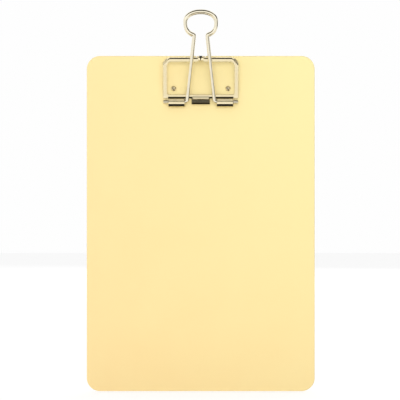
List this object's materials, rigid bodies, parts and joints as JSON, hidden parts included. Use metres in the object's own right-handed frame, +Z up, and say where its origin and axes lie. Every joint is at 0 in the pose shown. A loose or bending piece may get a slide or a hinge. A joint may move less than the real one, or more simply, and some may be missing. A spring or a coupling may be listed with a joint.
{
  "type": "clipboard",
  "caption": "Small portrait clipboard: a plain rounded panel with a hollow binder-style spring clip riveted at its top edge, opened by two wire lever handles.",
  "frame": {"origin": "centre of the board's foot edge, where it stands on a shelf or ledge", "axes": "+Z up the board towards the clip, -Y out of the writing face, +X to the right seen from the writing face"},
  "size_m": [0.155, 0.0275, 0.2602],
  "materials": {
    "board_yellow": "satin pastel yellow",
    "clip_gold": "polished pale gold plating on spring steel",
    "wire_gold": "bright pale gold plating on steel wire",
    "rivet_gold": "bright brass"
  },
  "bodies": {
    "board_and_back_leg": {"board": "board_yellow", "clip_back_plate": "clip_gold", "rivet_left": "rivet_gold", "rivet_right": "rivet_gold"},
    "spine": {"clip_spine": "clip_gold"},
    "front_leg": {"front_jaw": "clip_gold"},
    "front_lever": {"front_handle": "wire_gold"},
    "back_lever": {"back_handle": "wire_gold"}
  },
  "joints": [
    {"name": "spine_flex", "type": "hinge", "parent": "board_and_back_leg", "child": "spine", "pos_m": [0, 0.0018, 0.22722], "axis": [-1, 0, 0], "range_deg": [0, 10], "stiffness_Nm_per_rad": 0.8, "springref_deg": -22.92},
    {"name": "jaw_flex", "type": "hinge", "parent": "spine", "child": "front_leg", "pos_m": [0, -0.0079, 0.22722], "axis": [-1, 0, 0], "range_deg": [0, 10], "stiffness_Nm_per_rad": 0.8, "springref_deg": -22.92},
    {"name": "front_handle_swing", "type": "hinge", "parent": "front_leg", "child": "front_lever", "pos_m": [0, -0.00385, 0.1967], "axis": [1, 0, 0], "range_deg": [0, 165]},
    {"name": "back_handle_swing", "type": "hinge", "parent": "board_and_back_leg", "child": "back_lever", "pos_m": [0, 0.00385, 0.1967], "axis": [-1, 0, 0], "range_deg": [0, 180]}
  ],
  "couplings": [
    {"joint": "jaw_flex", "follows": "spine_flex", "ratio": 1}
  ]
}
